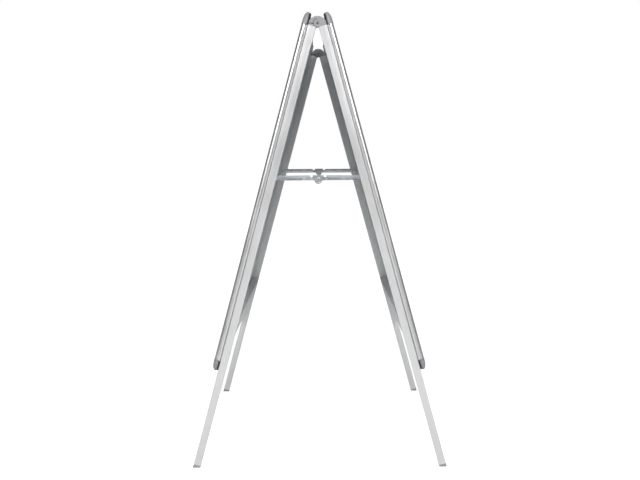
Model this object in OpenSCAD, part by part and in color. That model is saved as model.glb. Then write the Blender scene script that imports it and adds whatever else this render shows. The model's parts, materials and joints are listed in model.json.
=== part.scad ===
// Folding double-sided poster stand, in millimetres.
// Two snap frames stand on tube legs. Two top hinges join them and two stays hold them open.
// The origin is on the floor, midway between the feet. +Z is up, and the front poster faces -Y.

/* [Poster] */
// Width of the poster that each frame holds
poster_w = 594; // [584:1:600]
// Height of the poster that each frame holds
poster_h = 841; // [820:1:845]

/* [Stance] */
// Lean of each panel from upright when the stand is open, in degrees
lean = 15.34; // [14:0.01:17]
// Height of the hinge pins above the floor
pin_h = 1066; // [1050:1:1080]
// How far the frame's top edge stands above the pins, along the panel
frame_rise = 20.8; // [20:0.1:24]
// Gap from the hinge plane to each leg tube
fold_gap = 1.2; // [0.5:0.1:2]

/* [Leg tubes] */
// Width of a leg tube, from left to right
tube_w = 15; // [14:0.5:16]
// Depth of a leg tube, square to the panel
tube_d = 18.3; // [17:0.1:20]
// Wall of the leg tubes and cross bars
tube_wall = 1.4; // [1.2:0.1:1.8]
// Inset of a tube's outer side from the frame's edge
tube_inset = 3.5; // [2:0.5:4]
// Distance from the pins to the square-cut top of the tubes
tube_drop = 9.4; // [9.4:0.1:11]
// Height of the foot cap at its shorter side
foot_h = 4.4; // [3:0.1:6]
// Height of a cross bar
bar_h = 40; // [30:1:44]
// Distance from the pins to the cross bar's top, along the panel
bar_drop = 722; // [650:1:780]

/* [Frame rails] */
// Width of a rail, from its outer edge to its inner lip
rail_w = 32; // [31:0.5:34]
// Height of the rail's crown over its back
rail_t = 16; // [15:0.1:17]
// Distance of the crown from the outer edge
crown_in = 16; // [15:0.5:18]
// Height of the seam between base rail and snap rail
seam_t = 6.4; // [6:0.1:6.6]
// Skin of the extruded rails
skin = 1.4; // [1.2:0.1:1.5]
// Reach of a corner piece along each edge, which is also its radius
corner_r = 30.5; // [27:0.5:32]
// Thickness of the black corner base at the edge
corner_base_t = 4; // [3:0.1:4]

/* [Stays] */
// Distance from the pins to a stay's pivot, along the leg
stay_drop = 375.8; // [340:0.1:400]
// Height of a stay's bar
stay_h = 12; // [10:0.5:12]
// How far the bar's lower edge hangs under the pivot line
stay_low = 3.3; // [3:0.1:4]
// Distance from the centre pivot to the end of a bar
stay_end = 19; // [17:0.5:22]
// Radius of the thumb lobe on the lock plate
lobe_r = 9; // [6:0.1:10]

/* [Top hinges] */
// Radius of the hinge's rounded top
hinge_top_r = 21.6; // [21:0.1:22]
// Height of the hinge's top over the pin
hinge_top_h = 15.9; // [15:0.1:16.5]
// Radius of the hinge knuckles
knuckle_r = 9; // [8:0.1:9]
// Radius of the hinge pin
pin_r = 2.5; // [2:0.1:3]

/* [Hidden] */

$fn = 64;
eps = 0.01;
run_gap = 0.05;  // running clearance on a radius
fit_gap = 0.1;   // clearance of a plugged-in piece
end_gap = 0.3;   // gap between a snap rail and a corner

aluminium = [0.86, 0.87, 0.88];
zinc = [0.72, 0.75, 0.77];
steel = [0.55, 0.57, 0.59];
grey_plastic = [0.66, 0.67, 0.68];
black_plastic = [0.12, 0.12, 0.13];
clear_plastic = [0.9, 0.95, 0.98, 0.3];

// Panel: a drawing frame with its origin on the pins, +Z up the panel and -Y out of the poster
sheet_in = 21.5;  // distance of the sheets' edges from the frame's outer edge
frame_w = poster_w + 2 * sheet_in;
frame_h = poster_h + 2 * sheet_in;
half_w = frame_w / 2;
half_h = frame_h / 2;
frame_mid = frame_rise - half_h;
back_y = fold_gap + tube_d;  // distance from the hinge plane to the frame's back
tube_x = half_w - tube_inset - tube_w / 2;
tube_side = tube_x - tube_w / 2;  // inner side of a leg tube
tube_end = (pin_h + fold_gap * sin(lean)) / cos(lean) - foot_h;

// Rail section: x is inwards from the outer edge, y is up from the back
nose_in = 2;      // the snap rail's outer skin starts here
bead_r = 1.1;
bead_t = 7.4;     // height of the bead's centre, which the snap rail turns on
hook_r = 2.4;
bead_in = nose_in + hook_r;
hook_room = hook_r + 0.3;
wall_t = 0.8;     // the base's outer wall, thinned to clear the turning skin
relief_t = 1.2;
stem_tilt = 28;   // slope of the stem that carries the bead
hook_start = 60;  // the hook's two ends, in degrees round the bead
hook_end = 200;
hook_step = 10;
toe_r = 4.5;
web_in = bead_in + hook_room;
lip_t = 3.2;      // underside of the snap rail's inner lip
slope_drop = 10.5;
slope_power = 1.6;
arc_steps = 16;

// Sheets inside the rails, as heights over the frame's back
panel_low = skin + fit_gap;
panel_t = 1;
sheet_low = panel_low + panel_t + fit_gap;
sheet_t = 0.5;

// Springs and rivets inside the rails
spring_r = 5.2;
spring_t = 0.5;
spring_len = 24;
spring_in = 14.2;
rivet_r = 2;
rivet_in = 12;
rivet_head_r = 3.4;
rivet_head_t = 1.2;
rivet_rows = [-370, -130, 130, 370];
side_springs = [-250, 0, 250];
end_springs = [-150, 150];

// Corner keys that reach from a corner base into the base rails
key_in = 10;
key_w = 8;
key_low = skin + fit_gap;
key_t = 1.9;
key_reach = 34;
cover_proud = 0.4;
cover_bulge = 1.2;
cover_wall = 2;

// Top hinges
tongue_w = 7;
hinge_gap = 0.2;
knuckle_gap = 0.3;
stop_gap = 0.1;
plug_len = 25;
pin_head_r = 3.4;
pin_head_t = 1.4;

// Stays: t is the distance from the leg tube's inner side towards the middle of the stand
stay_u = fold_gap + tube_d / 2;
stay_y = stay_u * cos(lean) + stay_drop * sin(lean);
stay_z = pin_h + stay_u * sin(lean) - stay_drop * cos(lean);
stay_skin = 1.5;
stay_depth = 3.3;
front_t = 1.3;
rear_t = 5.2;
eye_r = 8;
bar_start = 6;
tongue_r = 5;
tongue_t = stay_skin - fit_gap;  // the tongue is joggled this far inwards from the bar's web
plate_skin = 1.3;
plate_w = 26;
plate_top = 9.2;
pivot_r = 2.5;
pivot_head_r = 5;
pivot_head_t = 1.2;
collar_r = 4.5;
stud_r = 1.6;
stud_head_r = 4;
stud_head_t = 0.9;

function side_sign(side) = side == "left" ? -1 : 1;
function edge_turn(edge) = edge == "left" ? 0 : edge == "bottom" ? -90 : edge == "top" ? 90 : 180;
function edge_half(edge) = edge == "left" || edge == "right" ? half_w : half_h;
function edge_run(edge) = 2 * (edge == "left" || edge == "right" ? half_h : half_w) - 2 * corner_r;

// Height of the snap rail's outer skin at a distance from the outer edge, past the crown
function slope_at(inward) =
    rail_t - slope_drop * pow((inward - crown_in) / (rail_w - crown_in), slope_power);

// Points of the snap rail's skin, pulled in by an amount, from its nose over the crown to its lip
function skin_points(pull) = concat(
    [for (i = [0 : arc_steps])
        let (a = 180 - 90 * i / arc_steps)
        [crown_in + (crown_in - nose_in - pull) * cos(a), bead_t + (rail_t - bead_t - pull) * sin(a)]],
    [for (i = [1 : arc_steps])
        let (inward = crown_in + (rail_w - crown_in) * i / arc_steps)
        [inward, slope_at(inward) - pull]]
);

// Points round the bead at a radius, from one angle to another
function hook_points(radius, from, to) =
    [for (i = [0 : abs(to - from) / hook_step])
        let (a = from + sign(to - from) * hook_step * i)
        [bead_in, bead_t] + radius * [cos(a), sin(a)]];

function reversed(points) = [for (i = [len(points) - 1 : -1 : 0]) points[i]];

// Puts a piece drawn in the panel frame in its place on the front or the rear panel
module on_panel(face) {
    mirror([0, face == "rear" ? 1 : 0, 0])
        translate([0, 0, pin_h]) rotate([-lean, 0, 0]) children();
}

// Extrudes a rail section along one edge of the frame
module along_edge(edge, run) {
    translate([0, 0, frame_mid]) rotate([0, edge_turn(edge), 0])
        translate([-edge_half(edge), -back_y, 0]) mirror([0, 1, 0])
            linear_extrude(height = run, center = true) children();
}

// Repeats a piece at the frame's four corners. Its origin is the corner's centre, on the frame's back,
// with the corner itself towards +X +Y and +Z out of the poster.
module at_corners() {
    for (sx = [0, 1], sz = [0, 1])
        translate([0, -back_y, frame_mid]) mirror([sx, 0, 0]) mirror([0, 0, sz])
            translate([half_w - corner_r, 0, half_h - corner_r]) rotate([90, 0, 0]) children();
}

// Extrudes a side-view drawing (x is +Y, y is +Z) from one x to another
module side_extrude(from, to) {
    translate([from, 0, 0]) rotate([90, 0, 90]) linear_extrude(height = to - from) children();
}

// Fixed half of the snap frame's section: toe, bead for the snap rail's hook, and back flange
module base_section() {
    translate([toe_r, 0]) square([corner_r - toe_r, skin]);
    difference() {
        union() {
            intersection() {
                translate([toe_r, toe_r]) circle(toe_r);
                square(toe_r + eps);
            }
            translate([0, toe_r]) square([web_in + skin, seam_t - toe_r]);
            translate([toe_r, 0]) square([web_in + skin - toe_r, toe_r + eps]);
        }
        translate([bead_in, bead_t]) circle(hook_room);
        translate([wall_t, seam_t - relief_t]) square([bead_in - wall_t, relief_t + eps]);
    }
    translate([bead_in, bead_t]) circle(bead_r);
    translate([bead_in, bead_t]) rotate(-stem_tilt)
        translate([0, -bead_r / 2]) square([hook_room + skin / 2, bead_r]);
}

// Opening half of the section: a domed skin with a hook at its nose and a lip at its inner edge
module snap_section() {
    polygon(concat(
        hook_points(hook_r, hook_end, 180 + hook_step),
        skin_points(0),
        [[rail_w, lip_t], [rail_w - skin, lip_t]],
        [for (p = reversed(skin_points(skin)))
            if (p.x < rail_w - skin && norm(p - [bead_in, bead_t]) > hook_r) p],
        hook_points(hook_r, hook_start, hook_start),
        hook_points(bead_r + run_gap, hook_start, hook_end)
    ));
}

module base_rail(face, edge) {
    color(aluminium) on_panel(face) difference() {
        along_edge(edge, edge_run(edge)) base_section();
        if (edge == "left" || edge == "right") frame_rivet_holes(side_sign(edge));
    }
}

module snap_rail(face, edge) {
    run = edge_run(edge) - 2 * end_gap;
    color(aluminium) on_panel(face) difference() {
        along_edge(edge, run) snap_section();
        translate([0, 0, frame_mid]) rotate([0, edge_turn(edge), 0])
            for (end = [0, 1]) mirror([0, 0, end])
                translate([corner_r - edge_half(edge), -back_y, run / 2]) rotate([0, -45, 0])
                    translate([0, -2 * rail_t, -rail_w]) cube([rail_w, 3 * rail_t, 2 * rail_w]);
    }
}

module frame_rivet_holes(sx) {
    for (z = rivet_rows)
        translate([sx * (half_w - rivet_in), 0, frame_mid + z]) rotate([90, 0, 0])
            cylinder(r = rivet_r + run_gap, h = back_y + 2 * skin);
}

module frame_rivets(face) {
    tail_y = back_y - tube_wall - rivet_head_t;
    color(zinc) on_panel(face)
        for (sx = [-1, 1], z = rivet_rows)
            translate([sx * (half_w - rivet_in), -tail_y, frame_mid + z]) rotate([90, 0, 0]) {
                cylinder(r = rivet_head_r, h = rivet_head_t);
                cylinder(r = rivet_r, h = 2 * rivet_head_t + tube_wall + skin);
                translate([0, 0, rivet_head_t + tube_wall + skin])
                    cylinder(r = rivet_head_r, h = rivet_head_t);
            }
}

module snap_springs(face) {
    color(steel) on_panel(face)
        for (edge = ["left", "right", "top", "bottom"])
            for (place = edge == "left" || edge == "right" ? side_springs : end_springs)
                translate(edge == "left" || edge == "right" ? [0, 0, place] : [place, 0, 0])
                    along_edge(edge, spring_len)
                        translate([spring_in, panel_low + spring_r]) difference() {
                            circle(spring_r);
                            circle(spring_r - spring_t);
                            translate([0, -spring_r / 2]) square([2 * spring_r, spring_r]);
                        }
}

module corner_bases(face) {
    color(black_plastic) on_panel(face) at_corners() {
        rotate_extrude(angle = 90) difference() {
            union() {
                square([corner_r - corner_base_t, corner_base_t]);
                intersection() {
                    translate([corner_r - corner_base_t, corner_base_t]) circle(corner_base_t);
                    square([corner_r, corner_base_t]);
                }
            }
            translate([-eps, skin]) square([corner_r - web_in, corner_base_t]);
        }
        corner_keys();
    }
}

// Two keys that lie on the corner base's floor and reach into the base rails
module corner_keys() {
    key_to = corner_r - key_in;
    for (turn = [0, 1]) mirror([turn, -turn, 0]) {
        translate([-key_reach, key_to - key_w, key_low])
            cube([key_reach + key_to, key_w, key_t]);
        translate([end_gap, key_to - key_w, skin / 2])
            cube([key_to - end_gap, key_w, skin]);
    }
}

module corner_covers(face) {
    color(grey_plastic) on_panel(face) at_corners() rotate_extrude(angle = 90) difference() {
        cover_section(0);
        cover_section(cover_wall);
    }
}

// Half section of a corner cover's dome, pulled in by an amount; x is the radius from the corner's centre
module cover_section(pull) {
    low = corner_base_t + hinge_gap - (pull > 0 ? eps : 0);
    flat_r = corner_r - crown_in;
    top = rail_t + cover_proud - pull;
    polygon(concat(
        [[0, low], [corner_r - pull, low]],
        [for (i = [0 : arc_steps])
            let (a = 90 * i / arc_steps)
            [flat_r + (crown_in + cover_bulge - pull) * cos(a), bead_t + (top - bead_t) * sin(a)]],
        [[0, top]]
    ));
}

module back_panel(face) {
    color(steel) on_panel(face) inner_sheet(panel_low, panel_t);
}

module cover_sheet(face) {
    color(clear_plastic) on_panel(face) inner_sheet(sheet_low, sheet_t);
}

module inner_sheet(low, thick) {
    translate([-poster_w / 2, -back_y - low - thick, frame_mid - poster_h / 2])
        cube([poster_w, thick, poster_h]);
}

module leg(face, side) {
    sx = side_sign(side);
    color(aluminium) on_panel(face) difference() {
        translate([sx * tube_x - tube_w / 2, -back_y, -tube_end])
            cube([tube_w, tube_d, tube_end - tube_drop]);
        translate([sx * tube_x - tube_w / 2 + tube_wall, -back_y + tube_wall, -tube_end - eps])
            cube([tube_w - 2 * tube_wall, tube_d - 2 * tube_wall, tube_end]);
        frame_rivet_holes(sx);
        translate([sx * (tube_side - eps), -stay_u, -stay_drop]) rotate([0, sx * 90, 0])
            cylinder(r = pivot_r + run_gap, h = 2 * tube_wall);
    }
}

module cross_bar(face) {
    color(aluminium) on_panel(face)
        translate([-tube_side, -back_y, -bar_drop - bar_h]) difference() {
            cube([2 * tube_side, tube_d, bar_h]);
            translate([-eps, tube_wall, tube_wall])
                cube([2 * tube_side + 2 * eps, tube_d - 2 * tube_wall, bar_h - 2 * tube_wall]);
        }
}

module feet(face) {
    plug_in = tube_wall + fit_gap;
    color(grey_plastic) difference() {
        on_panel(face) for (sx = [-1, 1]) {
            translate([sx * tube_x - tube_w / 2, -back_y, -tube_end - tube_d])
                cube([tube_w, tube_d, tube_d]);
            translate([sx * tube_x - tube_w / 2 + plug_in, -back_y + plug_in, -tube_end - eps])
                cube([tube_w - 2 * plug_in, tube_d - 2 * plug_in, plug_len]);
        }
        translate([-half_w, -pin_h, -pin_h]) cube([frame_w, 2 * pin_h, pin_h]);
    }
}

// Side outline of a hinge block, from the tube's top to the rounded crown, clear of the other half
module hinge_outline() {
    intersection() {
        translate([-back_y, -tube_drop]) square([back_y - knuckle_gap, 2 * hinge_top_r]);
        rotate(lean) translate([0, hinge_top_h - hinge_top_r]) circle(hinge_top_r);
        rotate(lean) translate([-2 * hinge_top_r - stop_gap, -2 * hinge_top_r])
            square([2 * hinge_top_r, 4 * hinge_top_r]);
    }
}

// One layer of a hinge half: with its own knuckle, or cut back around the other half's knuckle
module hinge_layer(has_knuckle) {
    difference() {
        union() {
            hinge_outline();
            if (has_knuckle) circle(knuckle_r);
        }
        if (has_knuckle) circle(pin_r + run_gap);
        else circle(knuckle_r + knuckle_gap);
    }
}

// The front half has the middle knuckle and the rear half has the two outer ones
module hinge_half(face, side) {
    low = side_sign(side) * tube_x - tube_w / 2;
    high = low + tube_w;
    inner_low = low + (tube_w - tongue_w) / 2;
    inner_high = high - (tube_w - tongue_w) / 2;
    middle_gap = face == "front" ? hinge_gap : 0;
    ear_gap = face == "front" ? 0 : hinge_gap;
    plug_in = tube_wall + fit_gap;
    color(grey_plastic) on_panel(face) {
        side_extrude(low, inner_low - ear_gap) hinge_layer(face == "rear");
        side_extrude(inner_low - ear_gap, inner_low + middle_gap) hinge_layer(false);
        side_extrude(inner_low + middle_gap, inner_high - middle_gap) hinge_layer(face == "front");
        side_extrude(inner_high - middle_gap, inner_high + ear_gap) hinge_layer(false);
        side_extrude(inner_high + ear_gap, high) hinge_layer(face == "rear");
        translate([low + plug_in, -back_y + plug_in, -tube_drop - plug_len])
            cube([tube_w - 2 * plug_in, tube_d - 2 * plug_in, plug_len + eps]);
    }
}

module hinge_pin(side) {
    color(zinc) translate([side_sign(side) * tube_x - tube_w / 2, 0, pin_h]) rotate([0, 90, 0]) {
        translate([0, 0, -pin_head_t - stop_gap]) cylinder(r = pin_head_r, h = pin_head_t);
        translate([0, 0, -pin_head_t]) cylinder(r = pin_r, h = tube_w + 2 * pin_head_t);
        translate([0, 0, tube_w + stop_gap]) cylinder(r = pin_head_r, h = pin_head_t);
    }
}

// Extrudes a stay's side view between two distances from the leg. Its origin is the pivot on the leg,
// with x towards the middle of the stand.
module stay_layer(face, side, from, to) {
    sx = side_sign(side);
    mirror([0, face == "rear" ? 1 : 0, 0]) translate([0, -stay_y, stay_z])
        side_extrude(
            min(sx * (tube_side - from), sx * (tube_side - to)),
            max(sx * (tube_side - from), sx * (tube_side - to))
        ) children();
}

module bar_outline() {
    translate([bar_start, -stay_low]) square([stay_y - stay_end - bar_start, stay_h]);
}

// A stay arm: an eye on the leg, a channel bar, and a flat joggled tongue to the centre pivot
module stay_arm(face, side) {
    from = face == "front" ? front_t : rear_t;
    color(zinc) {
        stay_layer(face, side, from, from + stay_skin) difference() {
            union() {
                circle(eye_r);
                bar_outline();
            }
            circle(pivot_r + run_gap);
        }
        stay_layer(face, side, from + stay_skin - eps, from + stay_depth) difference() {
            bar_outline();
            translate([0, stay_skin - stay_low]) square([stay_y, stay_h - 2 * stay_skin]);
        }
        stay_layer(face, side, from + tongue_t, from + tongue_t + stay_skin) difference() {
            union() {
                translate([stay_y - 1.5 * stay_end, -stay_low])
                    square([1.5 * stay_end, stay_low + tongue_r]);
                translate([stay_y, 0]) circle(tongue_r);
            }
            translate([stay_y, 0]) circle(stud_r + run_gap);
        }
    }
}

// Lock plate at the centre pivot, with a round lobe to push the stay up by
module stay_lock_plate(side) {
    color(zinc) stay_layer("front", side, front_t, front_t + plate_skin)
        translate([stay_y, 0]) difference() {
            union() {
                translate([-plate_w / 2, -stay_low]) square([plate_w, plate_top + stay_low]);
                translate([0, -stay_low]) circle(lobe_r);
            }
            circle(stud_r + run_gap);
        }
}

// Headed pin at the centre pivot, between two distances from the leg
module centre_pin(face, side, head_at, tail_at) {
    color(zinc) {
        stay_layer(face, side, head_at - stud_head_t, head_at)
            translate([stay_y, 0]) circle(stud_head_r);
        stay_layer(face, side, head_at - eps, tail_at + eps) translate([stay_y, 0]) circle(stud_r);
        stay_layer(face, side, tail_at, tail_at + stud_head_t / 2)
            translate([stay_y, 0]) circle(stud_head_r);
    }
}

// Rivet through the lock plate and the front arm's tongue
module stay_centre_rivet(side) {
    centre_pin("front", side, front_t, front_t + tongue_t + stay_skin);
}

// Stud in the rear arm's tongue
module stay_centre_stud(side) {
    centre_pin("rear", side, rear_t + tongue_t, rear_t + tongue_t + stay_skin);
}

// Rivet that holds a stay arm's eye to the leg tube, with a collar that sets the arm's distance
module stay_pivot(face, side) {
    from = face == "front" ? front_t : rear_t;
    color(zinc) {
        stay_layer(face, side, -tube_wall - pivot_head_t, -tube_wall) circle(collar_r);
        stay_layer(face, side, -tube_wall, from + stay_skin + fit_gap) circle(pivot_r);
        stay_layer(face, side, 0, from - fit_gap) circle(collar_r);
        stay_layer(face, side, from + stay_skin + fit_gap, from + stay_skin + fit_gap + pivot_head_t)
            circle(pivot_head_r);
    }
}

base_rail("front", "top");  // front_base_rail_top
base_rail("front", "bottom");  // front_base_rail_bottom
base_rail("front", "left");  // front_base_rail_left
base_rail("front", "right");  // front_base_rail_right
snap_rail("front", "top");  // front_snap_rail_top
snap_rail("front", "bottom");  // front_snap_rail_bottom
snap_rail("front", "left");  // front_snap_rail_left
snap_rail("front", "right");  // front_snap_rail_right
corner_bases("front");  // front_corner_bases
corner_covers("front");  // front_corner_covers
back_panel("front");  // front_back_panel
cover_sheet("front");  // front_cover_sheet
snap_springs("front");  // front_snap_springs
frame_rivets("front");  // front_frame_rivets
leg("front", "left");  // front_leg_left
leg("front", "right");  // front_leg_right
cross_bar("front");  // front_cross_bar
feet("front");  // front_feet
hinge_half("front", "left");  // front_hinge_half_left
hinge_half("front", "right");  // front_hinge_half_right
base_rail("rear", "top");  // rear_base_rail_top
base_rail("rear", "bottom");  // rear_base_rail_bottom
base_rail("rear", "left");  // rear_base_rail_left
base_rail("rear", "right");  // rear_base_rail_right
snap_rail("rear", "top");  // rear_snap_rail_top
snap_rail("rear", "bottom");  // rear_snap_rail_bottom
snap_rail("rear", "left");  // rear_snap_rail_left
snap_rail("rear", "right");  // rear_snap_rail_right
corner_bases("rear");  // rear_corner_bases
corner_covers("rear");  // rear_corner_covers
back_panel("rear");  // rear_back_panel
cover_sheet("rear");  // rear_cover_sheet
snap_springs("rear");  // rear_snap_springs
frame_rivets("rear");  // rear_frame_rivets
leg("rear", "left");  // rear_leg_left
leg("rear", "right");  // rear_leg_right
cross_bar("rear");  // rear_cross_bar
feet("rear");  // rear_feet
hinge_half("rear", "left");  // rear_hinge_half_left
hinge_half("rear", "right");  // rear_hinge_half_right
hinge_pin("left");  // hinge_pin_left
hinge_pin("right");  // hinge_pin_right
stay_arm("front", "left");  // stay_arm_front_left
stay_arm("rear", "left");  // stay_arm_rear_left
stay_lock_plate("left");  // stay_lock_plate_left
stay_centre_rivet("left");  // stay_centre_rivet_left
stay_centre_stud("left");  // stay_centre_stud_left
stay_pivot("front", "left");  // stay_pivot_front_left
stay_pivot("rear", "left");  // stay_pivot_rear_left
stay_arm("front", "right");  // stay_arm_front_right
stay_arm("rear", "right");  // stay_arm_rear_right
stay_lock_plate("right");  // stay_lock_plate_right
stay_centre_rivet("right");  // stay_centre_rivet_right
stay_centre_stud("right");  // stay_centre_stud_right
stay_pivot("front", "right");  // stay_pivot_front_right
stay_pivot("rear", "right");  // stay_pivot_rear_right
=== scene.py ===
"""Looks of a double-sided folding poster stand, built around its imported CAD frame.

Pieces are drawn in millimetres in a panel frame: its origin is on the hinge pins, +Z runs up the
panel and -Y points out of the poster. PANEL[face] carries that frame to the row frame in metres.
"""

import json
import math

import bmesh
import bpy
from mathutils import Matrix, Vector


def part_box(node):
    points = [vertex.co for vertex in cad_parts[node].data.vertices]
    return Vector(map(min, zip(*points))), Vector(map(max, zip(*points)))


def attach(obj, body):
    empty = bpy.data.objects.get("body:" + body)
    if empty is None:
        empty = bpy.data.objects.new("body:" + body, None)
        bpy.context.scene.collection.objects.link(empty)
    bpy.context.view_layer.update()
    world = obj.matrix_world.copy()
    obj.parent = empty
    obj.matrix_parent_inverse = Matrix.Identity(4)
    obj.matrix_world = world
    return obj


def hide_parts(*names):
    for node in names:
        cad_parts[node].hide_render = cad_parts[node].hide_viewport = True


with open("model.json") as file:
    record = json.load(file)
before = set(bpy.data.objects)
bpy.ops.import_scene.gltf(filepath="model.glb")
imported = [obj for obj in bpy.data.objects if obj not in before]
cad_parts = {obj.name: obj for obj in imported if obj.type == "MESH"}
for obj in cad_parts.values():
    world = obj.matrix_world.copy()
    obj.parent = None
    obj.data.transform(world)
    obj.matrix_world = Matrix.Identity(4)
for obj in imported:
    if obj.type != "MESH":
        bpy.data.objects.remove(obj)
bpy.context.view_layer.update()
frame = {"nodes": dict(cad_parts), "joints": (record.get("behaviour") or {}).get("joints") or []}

FACES = ("front", "rear")
SIDES = ("left", "right")
MM = 0.001

# ---------------------------------------------------------------- places that come from the frame

JOINTS = {joint["name"]: joint for joint in frame["joints"]}
PIN = Vector(JOINTS["fold"]["pos_m"])
SIDE_AXIS = JOINTS["front_snap_rail_left_open"]["axis"]
LEAN = math.atan2(abs(SIDE_AXIS[1]), abs(SIDE_AXIS[2]))
ONTO_FRONT = Matrix.Translation(PIN) @ Matrix.Rotation(-LEAN, 4, "X") @ Matrix.Scale(MM, 4)
PANEL = {
    "front": ONTO_FRONT,
    "rear": Matrix.Diagonal((1, -1, 1, 1)) @ ONTO_FRONT,
}


def panel_box(face, node):
    """Lowest and highest corner of a CAD node in its panel's frame, in millimetres."""
    back = PANEL[face].inverted()
    points = [back @ vertex.co for vertex in frame["nodes"][node].data.vertices]
    low = Vector(min(p[i] for p in points) for i in range(3))
    high = Vector(max(p[i] for p in points) for i in range(3))
    return low, high


TUBE_LOW, TUBE_HIGH = panel_box("front", "front_leg_right")
BACK_Y = -TUBE_LOW.y  # distance from the hinge plane to the frames' backs
FRAME_TOP = panel_box("front", "front_base_rail_top")[1].z
FRAME_FOOT = panel_box("front", "front_base_rail_bottom")[0].z
HALF_W = panel_box("front", "front_base_rail_right")[1].x
HALF_H = (FRAME_TOP - FRAME_FOOT) / 2
FRAME_MID = (FRAME_TOP + FRAME_FOOT) / 2

# ---------------------------------------------------------------- sizes, in millimetres

# Rail section: s is inwards from the outer edge and w is up from the frame's back
RAIL_W = 32.0
RAIL_T = 16.0
SKIN = 1.4  # wall of the rails and the tubes
CROWN_S = 16.0  # where the snap rail's skin is highest
SLOPE_DROP = 10.5  # fall of the skin from there to the lip
SLOPE_POWER = 1.6
LIP_W = 3.2  # underside of the inner lip
NOSE_S = 2.0  # how far the snap rail's nose stands in from the outer edge
BEAD_R = 1.1  # bead that the snap rail's hook turns on
BEAD_W = 7.4
STEM_TILT = 28.0  # slope of the bead's stem, in degrees
STEM_SIDE = 30  # the stem leaves the bead this many degrees to either side of that slope
HOOK_R = 2.4
HOOK_START = 60  # the hook wraps the bead between these angles, in degrees
HOOK_END = 200
HOOK_GAP = 0.05  # running clearance, also of pins and rivets in their holes
BEAD_S = NOSE_S + HOOK_R
SOCKET_R = HOOK_R + 0.3
WEB_S = BEAD_S + SOCKET_R
WALL_S = 0.8  # base rail's outer wall
SEAM_W = 6.4  # top of the base rail, under the snap rail's nose
RELIEF = 1.2  # how far the socket's side of the wall is cut down
TOE_R = 4.2  # rounded outer foot of the base rail
TOE_GAP = 1.2  # its height over the frame's back
FLANGE_S = 28.0  # inner end of the back flange

CORNER_R = 30.5
CORNER_BASE_W = 4.0
COVER_TOP = 16.4
COVER_WALL = 2.0
COVER_BULGE = 1.2  # how far the cover stands out past the rails
COVER_LIP = 0.5  # chamfer of the cover's rim
SEAT = 0.2  # gap between the cover and the base under it
RAIL_GAP = 0.3  # clearance at each end of a snap rail

# Black dots of painted shade where a corner meets its rails, standing in for the shade in the hollow there
HOLE_SHADE_R = 1.35
HOLE_SHADE_W = 4.95
HOLE_SHADE_SHIFT = 0.9
HOLE_SHADE_DEPTH = 0.7
HOLE_SHADE_PROUD = 0.2

TUBE_R = 1.1
PLUG_R = 0.6
PLUG_GAP = SKIN + 0.1  # from a tube's outside to the plug inside it
PLUG_LENGTH = 25.0
FOOT_DROP = 14.0  # reach of a foot's cap under its tube, before it is cut level
FOOT_SEAT = 0.02  # gap between the cap and the tube's end

EDGE_ROUND = 0.35  # rounding of sharp extruded edges
ARC_STEP = math.radians(7.5)
WELD = 1e-7  # metres: nearer points are one


# ---------------------------------------------------------------- outlines

def arc(centre, radius, start, end, squash=1.0):
    """Points along an arc from one angle to another, in degrees, ends included."""
    start, end = math.radians(start), math.radians(end)
    steps = max(2, math.ceil(abs(end - start) / ARC_STEP))
    points = []
    for i in range(steps + 1):
        angle = start + (end - start) * i / steps
        points.append((
            centre[0] + radius * math.cos(angle),
            centre[1] + radius * squash * math.sin(angle),
        ))
    return points


def rounded(corners, radius, steps=5):
    """The corners of a closed outline, each one rounded by an arc that touches both of its sides."""
    points = []
    for i, corner in enumerate(corners):
        here = Vector(corner[:2])
        before = Vector(corners[i - 1][:2]) - here
        after = Vector(corners[(i + 1) % len(corners)][:2]) - here
        r = corner[2] if len(corner) > 2 else radius
        half = before.angle(after) / 2
        if r <= 0 or half > math.radians(89):
            points.append(tuple(here))
            continue
        reach = min(r / math.tan(half), 0.49 * min(before.length, after.length))
        r = reach * math.tan(half)
        centre = here + (before.normalized() + after.normalized()).normalized() * (r / math.sin(half))
        first = here + before.normalized() * reach - centre
        last = here + after.normalized() * reach - centre
        turn = first.angle_signed(last)
        for k in range(steps + 1):
            spin = Matrix.Rotation(-turn * k / steps, 2)
            points.append(tuple(centre + spin @ first))
    return points


def circle_at(radius, steps=40):
    return [
        (radius * math.cos(2 * math.pi * i / steps), radius * math.sin(2 * math.pi * i / steps))
        for i in range(steps)
    ]


def slope_at(s):
    """Height of the snap rail's outer skin between its crown and its inner lip."""
    return RAIL_T - SLOPE_DROP * ((s - CROWN_S) / (RAIL_W - CROWN_S)) ** SLOPE_POWER


def skin_curve(pull, steps=22):
    """The snap rail's skin, pulled in by an amount, from the nose over the crown to the lip."""
    points = []
    for i in range(steps + 1):
        angle = math.pi * (1 - i / steps / 2)
        points.append((
            CROWN_S + (CROWN_S - NOSE_S - pull) * math.cos(angle),
            BEAD_W + (RAIL_T - BEAD_W - pull) * math.sin(angle),
        ))
    inner = RAIL_W - (SKIN if pull else 0)
    for i in range(1, steps + 1):
        s = CROWN_S + (inner - CROWN_S) * i / steps
        points.append((s, slope_at(s) - pull))
    return points


def snap_outline():
    """Opening half of the frame's section: skin, inner lip and the hook that turns on the bead."""
    bead = Vector((BEAD_S, BEAD_W))
    outer = skin_curve(0)
    inner = [p for p in skin_curve(SKIN) if (Vector(p) - bead).length > HOOK_R]
    top = Vector(inner[0]) - bead
    hook_top = math.degrees(math.atan2(top.y, top.x))
    lip = [
        (RAIL_W, LIP_W + EDGE_ROUND),
        (RAIL_W - EDGE_ROUND, LIP_W),
        (RAIL_W - SKIN + EDGE_ROUND, LIP_W),
        (RAIL_W - SKIN, LIP_W + EDGE_ROUND),
    ]
    return (
        arc(bead, HOOK_R, HOOK_END, 182)
        + outer
        + lip
        + inner[::-1]
        + arc(bead, HOOK_R, hook_top - 3, HOOK_START)
        + arc(bead, BEAD_R + HOOK_GAP, HOOK_START, HOOK_END)
    )


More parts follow.
